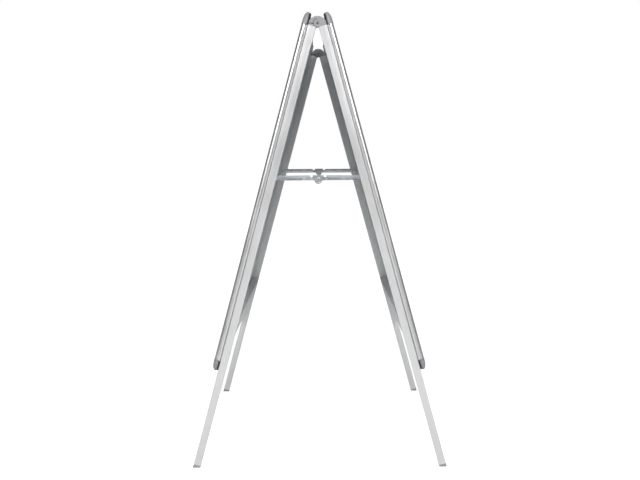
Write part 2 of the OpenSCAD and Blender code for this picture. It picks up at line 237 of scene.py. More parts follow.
def base_outline():
    """Fixed half of the frame's section: back flange, toe, socket, bead and web."""
    bead = Vector((BEAD_S, BEAD_W))
    tilt = math.radians(STEM_TILT)
    half = BEAD_R / 2
    reach = (BEAD_W - SEAM_W + half * math.cos(tilt)) / math.sin(tilt)
    shoulder = (BEAD_S + reach * math.cos(tilt) + half * math.sin(tilt), SEAM_W)
    stem_foot = 360 - STEM_TILT - math.degrees(math.asin(half / SOCKET_R))
    socket_lip = 180 + math.degrees(math.asin((BEAD_W - SEAM_W + RELIEF) / SOCKET_R))
    tip = WALL_S / 3
    return (
        [(FLANGE_S, SKIN - EDGE_ROUND), (FLANGE_S, EDGE_ROUND), (FLANGE_S - EDGE_ROUND, 0)]
        + [(2 * TOE_R, 0), (2 * TOE_R - 1, TOE_GAP)]
        + arc((TOE_R, TOE_R + TOE_GAP), TOE_R, 270, 180)
        + [(0, SEAM_W - tip), (tip, SEAM_W), (WALL_S - tip, SEAM_W), (WALL_S, SEAM_W - tip)]
        + [(WALL_S, SEAM_W - RELIEF)]
        + arc(bead, SOCKET_R, socket_lip, stem_foot)
        + arc(bead, BEAD_R, 360 - STEM_SIDE - STEM_TILT, STEM_SIDE - STEM_TILT)
        + [shoulder]
        + [(WEB_S + SKIN - EDGE_ROUND, SEAM_W), (WEB_S + SKIN, SEAM_W - EDGE_ROUND)]
        + [(WEB_S + SKIN, SKIN + EDGE_ROUND), (WEB_S + SKIN + EDGE_ROUND, SKIN)]
        + [(FLANGE_S - EDGE_ROUND, SKIN)]
    )


# ---------------------------------------------------------------- meshes

def add_ring(bm, outline, place, along):
    """Closed ring of points at one height along a part, which also keep that place as their grain."""
    grain = bm.verts.layers.float_vector["grain"]
    ring = []
    for a, b in outline:
        vertex = bm.verts.new(place(a, b, along))
        vertex[grain] = (a * MM, b * MM, along * MM)
        ring.append(vertex)
    return ring


def join_rings(bm, rings, partners):
    """Faces between each ring and its partner."""
    for here, there in zip(rings, partners):
        for i in range(len(here)):
            j = (i + 1) % len(here)
            bm.faces.new((here[i], here[j], there[j], there[i]))


def add_prism(bm, outline, low, high, place):
    """Extrudes an outline from low to high. place turns (a, b, along) into a point of the part's frame."""
    rings = [add_ring(bm, outline, place, along) for along in (low, high)]
    join_rings(bm, rings, rings[1:])
    caps = [bm.faces.new(rings[0][::-1]), bm.faces.new(rings[1])]
    bmesh.ops.triangulate(bm, faces=caps)


def add_turned(bm, outline, sweep, steps, place):
    """Turns an outline of (radius, height) about its axis through an angle in degrees."""
    grain = bm.verts.layers.float_vector["grain"]
    closed = sweep >= 360
    columns = []
    for k in range(steps if closed else steps + 1):
        angle = math.radians(sweep) * k / steps
        column = []
        for r, h in outline:
            x, y = r * math.cos(angle), r * math.sin(angle)
            vertex = bm.verts.new(place(x, y, h))
            vertex[grain] = (x * MM, y * MM, h * MM)
            column.append(vertex)
        columns.append(column)
    for k in range(steps):
        here, there = columns[k], columns[(k + 1) % len(columns)]
        for i in range(len(outline)):
            j = (i + 1) % len(outline)
            if outline[i][0] < 1e-6 and outline[j][0] < 1e-6:
                continue
            bm.faces.new((here[i], there[i], there[j], here[j]))
    if not closed:
        bmesh.ops.triangulate(bm, faces=[bm.faces.new(columns[0][::-1]), bm.faces.new(columns[-1])])


def new_mesh():
    bm = bmesh.new()
    bm.verts.layers.float_vector.new("grain")
    return bm


def make_object(bm, name, matrix):
    bmesh.ops.transform(bm, matrix=matrix, verts=bm.verts)
    bmesh.ops.remove_doubles(bm, verts=bm.verts, dist=WELD)
    bmesh.ops.dissolve_degenerate(bm, edges=bm.edges, dist=WELD)
    bmesh.ops.recalc_face_normals(bm, faces=bm.faces)
    mesh = bpy.data.meshes.new(name)
    bm.to_mesh(mesh)
    bm.free()
    thing = bpy.data.objects.new(name, mesh)
    bpy.context.scene.collection.objects.link(thing)
    return thing


def combine(target, other, how):
    """Joins another object to the target, or cuts it away, and takes the other away."""
    change = target.modifiers.new("combine", "BOOLEAN")
    change.operation = how
    change.object = other
    change.solver = "EXACT"
    bpy.context.view_layer.update()
    graph = bpy.context.evaluated_depsgraph_get()
    mesh = bpy.data.meshes.new_from_object(target.evaluated_get(graph))
    target.modifiers.clear()
    target.data = mesh
    bpy.data.objects.remove(other)


def finish_piece(thing, body, nodes, material, bevel=EDGE_ROUND, sharp=35):
    """Shades a piece, rounds its sharp edges, and lets it ride in place of its CAD nodes.

    The piece takes the material that is given.
    """
    mesh = thing.data
    mesh.materials.clear()
    mesh.materials.append(material)
    mesh.shade_smooth()
    mesh.set_sharp_from_angle(angle=math.radians(sharp))
    if bevel:
        rim = thing.modifiers.new("rim", "BEVEL")
        rim.width = bevel * MM
        rim.segments = 2
        rim.limit_method = "ANGLE"
        rim.angle_limit = math.radians(sharp)
        rim.harden_normals = True
        rim.miter_outer = "MITER_ARC"
    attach(thing, body)
    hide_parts(*nodes)
    return thing


# ---------------------------------------------------------------- materials


class Shader:
    """A small helper that builds one node material."""

    def __init__(self, name):
        self.material = bpy.data.materials.new(name)
        self.material.use_nodes = True
        self.tree = self.material.node_tree
        self.nodes = self.tree.nodes
        self.surface = self.nodes["Principled BSDF"]

    def add(self, kind, **values):
        node = self.nodes.new(kind)
        for key, value in values.items():
            if key in node.inputs:
                node.inputs[key].default_value = value
            else:
                setattr(node, key, value)
        return node

    def link(self, source, target):
        self.tree.links.new(source, target)

    def coordinates(self, stretch, own_grain=True):
        """Texture coordinates in metres times stretch, along a part's own grain or the row's axes."""
        if own_grain:
            source = self.add("ShaderNodeAttribute", attribute_name="grain").outputs["Vector"]
        else:
            source = self.add("ShaderNodeTexCoord").outputs["Object"]
        mapping = self.add("ShaderNodeMapping")
        mapping.inputs["Scale"].default_value = stretch
        self.link(source, mapping.inputs["Vector"])
        return mapping.outputs["Vector"]

    def noise(self, where, detail=3.0, rough=0.55):
        node = self.add("ShaderNodeTexNoise", Scale=1.0, Detail=detail, Roughness=rough)
        self.link(where, node.inputs["Vector"])
        return node.outputs["Fac"]

    def spread(self, value, low, high, span=(0.3, 0.7)):
        node = self.add("ShaderNodeMapRange")
        node.inputs["From Min"].default_value = span[0]
        node.inputs["From Max"].default_value = span[1]
        node.inputs["To Min"].default_value = low
        node.inputs["To Max"].default_value = high
        self.link(value, node.inputs["Value"])
        return node.outputs["Result"]

    def maths(self, how, a, b):
        node = self.add("ShaderNodeMath", operation=how)
        for socket, value in zip(node.inputs, (a, b)):
            if isinstance(value, (int, float)):
                socket.default_value = value
            else:
                self.link(value, socket)
        return node.outputs["Value"]

    def tint(self, colour, shade):
        """The colour times a grey shade."""
        node = self.add("ShaderNodeVectorMath", operation="SCALE")
        node.inputs[0].default_value = colour
        self.link(shade, node.inputs["Scale"])
        self.link(node.outputs["Vector"], self.surface.inputs["Base Color"])

    def bump(self, height, strength, distance):
        node = self.add("ShaderNodeBump", Strength=strength, Distance=distance)
        self.link(height, node.inputs["Height"])
        self.link(node.outputs["Normal"], self.surface.inputs["Normal"])

    def painted_edge_highlight(self, radius):
        """A mask that is 1 on outer edges, where a highlight is painted into the colour."""
        soft = self.add("ShaderNodeBevel", samples=4)
        soft.inputs["Radius"].default_value = radius
        flat = self.add("ShaderNodeNewGeometry")
        dot = self.add("ShaderNodeVectorMath", operation="DOT_PRODUCT")
        self.link(soft.outputs["Normal"], dot.inputs[0])
        self.link(flat.outputs["Normal"], dot.inputs[1])
        return self.spread(dot.outputs["Value"], 1.0, 0.0, (0.80, 0.97))


def anodised(name, colour, metallic=0.72, rough=0.36, lines=0.35):
    """Satin anodised aluminium: fine extrusion lines along the grain, faint smudges, and a painted highlight
    along the edges.
    """
    s = Shader(name)
    lines_at = s.coordinates((2600.0, 2600.0, 9.0))
    wide_at = s.coordinates((330.0, 330.0, 3.0))
    fine = s.noise(lines_at, detail=4.0)
    wide = s.noise(wide_at, detail=2.0)
    smudge = s.noise(s.coordinates((14.0, 14.0, 9.0), own_grain=False), detail=4.0)
    grain = s.maths("ADD", s.maths("MULTIPLY", fine, 0.6), s.maths("MULTIPLY", wide, 0.4))
    shade = s.spread(grain, 1.0 - 0.14 * lines, 1.0 + 0.10 * lines)
    shade = s.maths("MULTIPLY", shade, s.spread(smudge, 0.975, 1.015))
    # painted highlight: the colour is brightened along outer edges
    shade = s.maths("ADD", shade, s.maths("MULTIPLY", s.painted_edge_highlight(0.0006), 0.05))
    s.tint(colour, shade)
    roughness = s.maths("ADD", s.spread(grain, rough - 0.06, rough + 0.06), s.spread(smudge, -0.03, 0.05))
    s.link(roughness, s.surface.inputs["Roughness"])
    s.surface.inputs["Metallic"].default_value = metallic
    s.surface.inputs["Anisotropic"].default_value = 0.3
    s.bump(grain, 0.10, 0.00005)
    return s.material


def moulded(name, colour, rough=0.5, speckle=0.05, texture=2200.0):
    """Injection-moulded plastic: a fine spark texture, slow colour drift and a painted highlight along the
    edges.
    """
    s = Shader(name)
    spark = s.noise(s.coordinates((texture,) * 3, own_grain=False), detail=2.0)
    drift = s.noise(s.coordinates((40.0,) * 3, own_grain=False), detail=3.0)
    shade = s.maths("MULTIPLY", s.spread(spark, 1 - speckle, 1 + speckle), s.spread(drift, 0.95, 1.05))
    # painted highlight: the colour is brightened along outer edges
    shade = s.maths("ADD", shade, s.maths("MULTIPLY", s.painted_edge_highlight(0.0008), 0.10))
    s.tint(colour, shade)
    s.link(s.spread(drift, rough - 0.05, rough + 0.06), s.surface.inputs["Roughness"])
    s.surface.inputs["IOR"].default_value = 1.49
    s.bump(spark, 0.25, 0.00008)
    return s.material


def zinc_plated(name, colour, rough=0.28, metallic=0.95):
    """Bright zinc plating: bluish, a little cloudy, with rolling lines and a painted highlight along the
    edges.
    """
    s = Shader(name)
    cloud = s.noise(s.coordinates((90.0,) * 3, own_grain=False), detail=5.0, rough=0.62)
    rolled = s.noise(s.coordinates((1500.0,) * 3, own_grain=False), detail=3.0)
    shade = s.maths("MULTIPLY", s.spread(cloud, 0.84, 1.08), s.spread(rolled, 0.96, 1.03))
    # painted highlight: the colour is brightened along outer edges
    shade = s.maths("ADD", shade, s.maths("MULTIPLY", s.painted_edge_highlight(0.0005), 0.18))
    s.tint(colour, shade)
    s.link(s.spread(cloud, rough - 0.06, rough + 0.12), s.surface.inputs["Roughness"])
    s.surface.inputs["Metallic"].default_value = metallic
    s.bump(rolled, 0.10, 0.00004)
    return s.material


def galvanised(name, colour, metallic=0.35):
    """Thin galvanised sheet: a soft spangle of zinc crystals with slightly different sheens."""
    s = Shader(name)
    at = s.coordinates((70.0,) * 3, own_grain=False)
    bent = s.noise(s.coordinates((160.0,) * 3, own_grain=False), detail=3.0)
    warp = s.add("ShaderNodeVectorMath", operation="ADD")
    s.link(at, warp.inputs[0])
    s.link(s.maths("MULTIPLY", bent, 0.8), warp.inputs[1])
    cells = s.add("ShaderNodeTexVoronoi", Scale=1.0)
    s.link(warp.outputs["Vector"], cells.inputs["Vector"])
    value = s.add("ShaderNodeSeparateColor")
    s.link(cells.outputs["Color"], value.inputs["Color"])
    crystals = s.spread(value.outputs["Red"], 0.88, 1.08, (0, 1))
    s.tint(colour, s.maths("MULTIPLY", crystals, s.spread(bent, 0.97, 1.03)))
    s.link(s.spread(value.outputs["Green"], 0.36, 0.52, (0, 1)), s.surface.inputs["Roughness"])
    s.surface.inputs["Metallic"].default_value = metallic
    s.bump(bent, 0.05, 0.0002)
    return s.material


def clear_film(name):
    """Thin anti-glare film: seen straight through, with a soft sheen that grows at low angles."""
    s = Shader(name)
    s.nodes.remove(s.surface)
    haze = s.noise(s.coordinates((900.0,) * 3, own_grain=False), detail=2.0)
    through = s.add("ShaderNodeBsdfTransparent")
    through.inputs["Color"].default_value = (0.955, 0.965, 0.968, 1)
    sheen = s.add("ShaderNodeBsdfGlossy")
    sheen.inputs["Color"].default_value = (0.9, 0.92, 0.93, 1)
    s.link(s.spread(haze, 0.16, 0.26), sheen.inputs["Roughness"])
    angle = s.add("ShaderNodeFresnel", IOR=1.45)
    mix = s.add("ShaderNodeMixShader")
    grazing = s.maths("MULTIPLY", angle.outputs["Fac"], 0.8)
    s.link(s.maths("ADD", grazing, s.spread(haze, 0.01, 0.03)), mix.inputs["Fac"])
    s.link(through.outputs["BSDF"], mix.inputs[1])
    s.link(sheen.outputs["BSDF"], mix.inputs[2])
    s.link(mix.outputs["Shader"], s.nodes["Material Output"].inputs["Surface"])
    return s.material


RAIL_METAL = anodised("rail_aluminium", (0.84, 0.842, 0.85), metallic=0.92, rough=0.37)
TUBE_METAL = anodised("tube_aluminium", (0.82, 0.825, 0.83), rough=0.40, lines=0.25)
ZINC = zinc_plated("zinc_plating", (0.70, 0.74, 0.78), rough=0.34)
PIN_STEEL = zinc_plated("pin_steel", (0.25, 0.255, 0.265), rough=0.45)
SPRING_STEEL = zinc_plated("spring_steel", (0.42, 0.43, 0.45), rough=0.24)
SHEET_STEEL = galvanised("galvanised_sheet", (0.66, 0.68, 0.69))
GREY_PLASTIC = moulded("corner_plastic", (0.30, 0.30, 0.315))
HINGE_PLASTIC = moulded("hinge_plastic", (0.30, 0.30, 0.315), rough=0.46)
FOOT_PLASTIC = moulded("foot_plastic", (0.30, 0.305, 0.31), rough=0.58)
# black plastic of the corner bases; the same material makes the black strips and dots of painted shade in
# the hinge seams and beside the rails' ends
BLACK_PLASTIC_AND_SHADE = moulded("black_plastic", (0.022, 0.022, 0.024), rough=0.42, speckle=0.12)
FILM = clear_film("clear_film")

# ---------------------------------------------------------------- frame rails

EDGES = {"left": 0, "bottom": -90, "top": 90, "right": 180}


def edge_place(edge):
    """Carries a rail section's (s, w, along) to the panel frame."""
    half = HALF_W if edge in SIDES else HALF_H
    turn = Matrix.Rotation(math.radians(EDGES[edge]), 4, "Y")

    def place(s, w, along):
        spot = turn @ Vector((s - half, -BACK_Y - w, along))
        return (spot.x, spot.y, spot.z + FRAME_MID)

    return place


def rail_run(edge):
    return (HALF_H if edge in SIDES else HALF_W) - CORNER_R


def mitre_tips(bm, edge):
    """Cuts the inner corners off a snap rail at 45 degrees, so that neighbours clear each other."""
    place = edge_place(edge)
    run = rail_run(edge) - RAIL_GAP
    for end in (-1, 1):
        spot = Vector(place(CORNER_R, 0, end * run))
        away = Vector(place(CORNER_R + 1, 0, end * (run + 1))) - spot
        geometry = bm.verts[:] + bm.edges[:] + bm.faces[:]
        cut = bmesh.ops.bisect_plane(
            bm, geom=geometry, plane_co=spot, plane_no=away, clear_outer=True
        )
        rim = [item for item in cut["geom_cut"] if isinstance(item, bmesh.types.BMEdge)]
        bmesh.ops.holes_fill(bm, edges=rim, sides=0)


def build_rails(face):
    """Base rail and snap rail along each edge, both drawn closed."""
    for edge in EDGES:
        run = rail_run(edge)
        bm = new_mesh()
        add_prism(bm, base_outline(), -run, run, edge_place(edge))
        node = f"{face}_base_rail_{edge}"
        thing = make_object(bm, node + ".look", PANEL[face])
        finish_piece(thing, f"{face}_frame", [node], RAIL_METAL, bevel=0, sharp=28)

        bm = new_mesh()
        add_prism(bm, snap_outline(), RAIL_GAP - run, run - RAIL_GAP, edge_place(edge))
        mitre_tips(bm, edge)
        node = f"{face}_snap_rail_{edge}"
        thing = make_object(bm, node + ".look", PANEL[face])
        finish_piece(thing, node, [node], RAIL_METAL, bevel=0, sharp=28)


# ---------------------------------------------------------------- corners

def corner_places():
    """Carries a corner's (x, y, height over the frame's back) to the panel frame, for each corner."""
    places = []
    for sx in (-1, 1):
        for sz in (-1, 1):
            def place(x, y, h, sx=sx, sz=sz):
                return (
                    sx * (HALF_W - CORNER_R + x),
                    -BACK_Y - h,
                    FRAME_MID + sz * (HALF_H - CORNER_R + y),
                )
            places.append(place)
    return places


def dome(pull, steps=14):
    """The corner cover's dome from its rim to the pole, pulled in by an amount, as (radius, height)."""
    flat = CORNER_R - CROWN_S
    top = COVER_TOP - pull
    points = []
    for i in range(steps + 1):
        angle = math.pi / 2 * i / steps
        points.append((
            flat + (CROWN_S + COVER_BULGE - pull) * math.cos(angle),
            BEAD_W + (top - BEAD_W) * math.sin(angle),
        ))
    points.append((0.0, top))
    return points


def build_corners(face):
    """Covers, and the bases under them with black dots of painted shade that show beside the rails' ends."""
    low = CORNER_BASE_W + SEAT
    cover = (
        [(CORNER_R - COVER_WALL, low), (CORNER_R - COVER_LIP, low), (CORNER_R, low + COVER_LIP)]
        + dome(0)
        + dome(COVER_WALL)[::-1]
    )
    base = (
        [(0.0, SKIN), (0.0, 0.0)]
        + arc((CORNER_R - CORNER_BASE_W, CORNER_BASE_W), CORNER_BASE_W, 270, 352)
        + [(CORNER_R - 0.3, CORNER_BASE_W), (CORNER_R - WEB_S, CORNER_BASE_W), (CORNER_R - WEB_S, SKIN)]
    )
    # black dots of painted shade, standing in for the shade in the hollow at each rail's end
    hole_shade = circle_at(HOLE_SHADE_R, 16)
    cover_bm, base_bm = new_mesh(), new_mesh()
    for place in corner_places():
        add_turned(cover_bm, cover, 90, 20, place)
        add_turned(base_bm, base, 90, 20, place)
        for swap in (False, True):
            def hole_shade_place(a, b, along, swap=swap, place=place):
                x, y = along, a - HOLE_SHADE_SHIFT
                return place(y, x, b + HOLE_SHADE_W) if swap else place(x, y, b + HOLE_SHADE_W)
            add_prism(base_bm, hole_shade, CORNER_R - HOLE_SHADE_DEPTH, CORNER_R + HOLE_SHADE_PROUD, hole_shade_place)
    for bm, kind, material in (
        (cover_bm, "corner_covers", GREY_PLASTIC),
        (base_bm, "corner_bases", BLACK_PLASTIC_AND_SHADE),
    ):
        node = f"{face}_{kind}"
        thing = make_object(bm, node + ".look", PANEL[face])
        finish_piece(thing, f"{face}_frame", [node], material, bevel=0.2)


# ---------------------------------------------------------------- legs, bar and feet

def upright(a, b, along):
    return (a, b, along)


def crosswise(a, b, along):
    return (along, a, b)


def rectangle(low_a, high_a, low_b, high_b, radius):
    return rounded([(low_a, low_b), (high_a, low_b), (high_a, high_b), (low_a, high_b)], radius)


def plug_outline(low, high):
    return rectangle(low.x + PLUG_GAP, high.x - PLUG_GAP, low.y + PLUG_GAP, high.y - PLUG_GAP, PLUG_R)


def tube_mesh(low, high, lengthwise):
    """A hollow tube with rounded corners inside and out. lengthwise is the axis that it runs along."""
    a, b, along = (1, 2, 0) if lengthwise == 0 else (0, 1, 2)
    place = crosswise if lengthwise == 0 else upright
    outer = rectangle(low[a], high[a], low[b], high[b], TUBE_R)
    inner = rectangle(low[a] + SKIN, high[a] - SKIN, low[b] + SKIN, high[b] - SKIN, TUBE_R / 2)
    bm = new_mesh()
    ends = ((outer, low), (outer, high), (inner, high), (inner, low))
    loops = [add_ring(bm, outline, place, end[along]) for outline, end in ends]
    join_rings(bm, loops, loops[1:] + loops[:1])
    return bm


def build_tubes(face):
    """The two leg tubes and the cross bar between them."""
    runs = {f"{face}_leg_{side}": 2 for side in SIDES}
    runs[f"{face}_cross_bar"] = 0
    for node, lengthwise in runs.items():
        low, high = panel_box(face, node)
        thing = make_object(tube_mesh(low, high, lengthwise), node + ".look", PANEL[face])
        finish_piece(thing, f"{face}_frame", [node], TUBE_METAL, bevel=0.25, sharp=40)


def build_feet(face):
    """Plug and cap in each tube end. The cap's sole is cut level with the floor."""
    bm = new_mesh()
    for side in SIDES:
        low, high = panel_box(face, f"{face}_leg_{side}")
        cap = rectangle(low.x, high.x, low.y, high.y, TUBE_R)
        plug = plug_outline(low, high)
        seat = low.z - FOOT_SEAT
        steps = ((cap, low.z - FOOT_DROP), (cap, seat), (plug, seat), (plug, low.z + PLUG_LENGTH))
        rings = [add_ring(bm, outline, upright, z) for outline, z in steps]
        join_rings(bm, rings, rings[1:])
        bm.faces.new(rings[0][::-1])
        bm.faces.new(rings[-1])
    to_panel = PANEL["front"].inverted()
    floor_spot = to_panel @ Vector((0, 0, 0))
    up = (to_panel.to_3x3() @ Vector((0, 0, 1))).normalized()
    cut = bmesh.ops.bisect_plane(
        bm,
        geom=bm.verts[:] + bm.edges[:] + bm.faces[:],
        plane_co=floor_spot,
        plane_no=-up,
        clear_outer=True,
    )
    rim = [item for item in cut["geom_cut"] if isinstance(item, bmesh.types.BMEdge)]
    bmesh.ops.holes_fill(bm, edges=rim, sides=0)
    node = f"{face}_feet"
    thing = make_object(bm, node + ".look", PANEL[face])
    finish_piece(thing, f"{face}_frame", [node], FOOT_PLASTIC, bevel=0.5, sharp=40)


# ---------------------------------------------------------------- top hinges

HINGE_TOP_R = 21.6  # crown of the blocks
HINGE_TOP_H = 15.9  # its height over the pins
HINGE_STOP = 0.1  # each block's crown stops this far short of the middle
KNUCKLE_R = 9.0
KNUCKLE_GAP = 0.3  # from the hinge plane to each block's flat face
SEAM_GAP = 1.3  # open line round a knuckle, and the width of the black strip of painted shade in it
SEAM_END = 272  # angle about the pin where the strip ends, in degrees
SEAM_STOP = 0.3  # the strip stops this far short of the block's front
SEAM_PROUD = 0.12  # reach of the strip out of the block's side, and into it
SEAM_DEPTH = 0.5
TONGUE_W = 7.0  # middle knuckle's slot
HINGE_GAP = 0.2
PIN_R = 2.5
PIN_HEAD_R = 3.4
PIN_HEAD_T = 1.4
DOME_SHARE = 0.7  # of a rivet head's thickness
TUBE_DROP = -TUBE_HIGH.z
PLUG_LAP = 0.5  # how far a hinge's plug reaches into its block
PAST = 1.0  # how far a cutter reaches past what it cuts


def hinge_outline():
    """Side outline of a hinge block in the panel frame: tube top, rounded crown and stop face."""
    drop = HINGE_TOP_H - HINGE_TOP_R
    centre = Vector((-drop * math.sin(LEAN), drop * math.cos(LEAN)))
    edge_y = -BACK_Y
    crown_start = math.atan2(
        math.sqrt(HINGE_TOP_R ** 2 - (edge_y - centre.x) ** 2), edge_y - centre.x
    )
    crown_end = math.pi / 2 + LEAN + math.asin(HINGE_STOP / HINGE_TOP_R)
    crown = arc(centre, HINGE_TOP_R, math.degrees(crown_start), math.degrees(crown_end))
    seam_foot = (-KNUCKLE_GAP, 0.0)
    return [(edge_y, -TUBE_DROP)] + crown + [seam_foot, (-KNUCKLE_GAP, -TUBE_DROP)]


def build_hinge_half(face, side):
    """Block on the tube's end with its plug. The front has the middle knuckle and the rear the outer two."""
    node = f"{face}_hinge_half_{side}"
    leg_low, leg_high = panel_box(face, f"{face}_leg_{side}")
    outline = hinge_outline()
    middle = (leg_low.x + leg_high.x) / 2
    tongue = TONGUE_W / 2
    own = tongue - HINGE_GAP if face == "front" else tongue + HINGE_GAP
    matrix = PANEL[face]

    def solid(shape, low, high, name="cutter"):
        bm = new_mesh()
        add_prism(bm, shape, low, high, crosswise)
        return make_object(bm, name, matrix)

    block = solid(outline, leg_low.x, leg_high.x, node + ".look")
    knuckles = {
        "front": [(-own, own)],
        "rear": [(leg_low.x - middle, -own), (own, leg_high.x - middle)],
    }
    slots = {
        "front": [(leg_low.x - middle - PAST, -tongue), (tongue, leg_high.x - middle + PAST)],
        "rear": [(-tongue, tongue)],
    }
    for low, high in slots[face]:
        combine(block, solid(circle_at(KNUCKLE_R + SEAM_GAP), middle + low, middle + high), "DIFFERENCE")
    for low, high in knuckles[face]:
        combine(block, solid(circle_at(KNUCKLE_R), middle + low, middle + high), "UNION")
    bore = solid(circle_at(PIN_R + HOOK_GAP, 24), leg_low.x - PAST, leg_high.x + PAST)
    combine(block, bore, "DIFFERENCE")
    bm = new_mesh()
    add_prism(bm, plug_outline(leg_low, leg_high), -TUBE_DROP - PLUG_LENGTH, -TUBE_DROP + PLUG_LAP, upright)
    combine(block, make_object(bm, "plug", matrix), "UNION")
    finish_piece(block, f"{face}_frame", [node], HINGE_PLASTIC, bevel=0.4, sharp=38)


def build_seam_shade_strips(side):
    """Black strip of painted shade in the open line where a front half meets the outer knuckles, on both
    faces of a hinge.
    """
    node = f"front_hinge_half_{side}"
    leg_low, leg_high = panel_box("front", f"front_leg_{side}")
    lean = math.degrees(LEAN)
    outer, inner = KNUCKLE_R + SEAM_GAP, KNUCKLE_R
    reach = (BACK_Y - SEAM_STOP) / math.cos(LEAN)
    meet = 180 + lean + math.degrees(math.asin(SEAM_GAP / outer))
    band = (
        [polar(reach, 0, lean), polar(inner, 0, lean)]
        + arc((0, 0), inner, 180 + lean, SEAM_END)
        + arc((0, 0), outer, SEAM_END, meet)
        + [polar(reach, SEAM_GAP, lean)]
    )
    bm = new_mesh()
    for face_x, inward in ((leg_low.x, 1), (leg_high.x, -1)):
        low, high = sorted((face_x - inward * SEAM_PROUD, face_x + inward * SEAM_DEPTH))
        add_prism(bm, band, low, high, crosswise)
    thing = make_object(bm, f"seam_shade_strip_{side}", PANEL["front"])
    finish_piece(thing, "front_frame", [node], BLACK_PLASTIC_AND_SHADE, bevel=0)


def polar(distance, drop, lean):
    """Point at a distance towards the poster on the level line through the pin, or a drop under it."""
    angle = math.radians(180 + lean)
    return (
        distance * math.cos(angle) - drop * math.sin(angle),
        distance * math.sin(angle) + drop * math.cos(angle),
    )


def build_hinge_pin(side):
    """Rivet with domed heads, through all three knuckles."""
    node = f"hinge_pin_{side}"
    low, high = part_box(node)
    low, high = low / MM, high / MM
    outline = (
        [(0.0, low.x)]
        + domed_head(PIN_HEAD_R, low.x, PIN_HEAD_T, 1)
        + [(PIN_R, low.x + PIN_HEAD_T), (PIN_R, high.x - PIN_HEAD_T)]
        + domed_head(PIN_HEAD_R, high.x, PIN_HEAD_T, -1)[::-1]
        + [(0.0, high.x)]
    )
    bm = new_mesh()
    spot = PIN / MM
    add_turned(bm, outline, 360, 32, lambda a, b, h: (h, spot.y + a, spot.z + b))
    thing = make_object(bm, node + ".look", Matrix.Scale(MM, 4))
    finish_piece(thing, "front_frame", [node], PIN_STEEL, bevel=0, sharp=40)


def domed_head(radius, tip, thick, inward, steps=6):
    """Half outline of a domed rivet head as (radius, height): from near its tip to its rim's underside."""
    points = []
    for i in range(1, steps + 1):
        angle = math.pi / 2 * i / steps
        height = tip + inward * thick * DOME_SHARE * (1 - math.cos(angle))
        points.append((radius * math.sin(angle), height))
    points.append((radius, tip + inward * thick))
    return points


# ---------------------------------------------------------------- stays

TUBE_SIDE = TUBE_LOW.x  # the leg tube's inner side
FRONT_T = 1.3  # from there to the front arm
REAR_T = 5.2  # and to the rear arm, which passes beside it
STAY_SKIN = 1.5
STAY_DEPTH = 3.3
STAY_H = 12.0
STAY_LOW = 3.3  # how much of that height is below the pivots
BAR_START = 6.0
BAR_ROUND = 0.8
STAY_END = 19.0  # from the bar's end to the centre pivot
GROOVE_T = 1.3  # depth of the shallow V pressed along the web
GROOVE_EDGE = 0.6
EYE_R = 8.0
TONGUE_R = 5.0
TONGUE_T = 1.4  # joggle between the bar and the tongue
TONGUE_LAP = 6  # how far the tongue starts inside the bar
TONGUE_INSET = 0.05
JOGGLE = 5.2  # length of the sloped part
PLATE_SKIN = 1.3
PLATE_W = 26.0
PLATE_TOP = 9.2
PLATE_EDGE = 3.0  # the lower edge dips over this length at each end
PLATE_DIP = 0.2
PLATE_LIFT = 0.01
LOBE_R = 9.0
DISH_R = 4.6
DISH_FLOOR_R = 3.4
DISH_DROP = 2.0  # from the lobe's centre to the dish's
DISH_DEPTHS = (0.1, 0.45, 0.5)  # at its rim, at its floor's edge and at its centre
DISH_PAST = 0.6
STUD_R = 1.6
STUD_HEAD_R = 4.0
STUD_HEAD_T = 0.9
STUD_TAIL_T = 0.45
STUD_CHAMFER = 0.3
PIVOT_R = 2.5
PIVOT_HEAD_R = 5.0
PIVOT_HEAD_T = 1.2
PIVOT_TAIL_T = 1.2
PIVOT_CHAMFER = 0.3
COLLAR_R = 4.5
COLLAR_GAP = 0.1


def stay_frame(face, side):
    """Carries (a towards the middle, b up, t away from the leg) from a stay's leg pivot to the row."""
    spot = Vector(JOINTS[f"stay_{face}_{side}_fold"]["pos_m"]) / MM
    across = -1 if side == "left" else 1
    inward = 1 if face == "front" else -1
    rows = (
        (0, 0, -across, across * TUBE_SIDE),
        (inward, 0, 0, spot.y),
        (0, 1, 0, spot.z),
        (0, 0, 0, 1),
    )
    return Matrix.Scale(MM, 4) @ Matrix(rows), abs(spot.y)


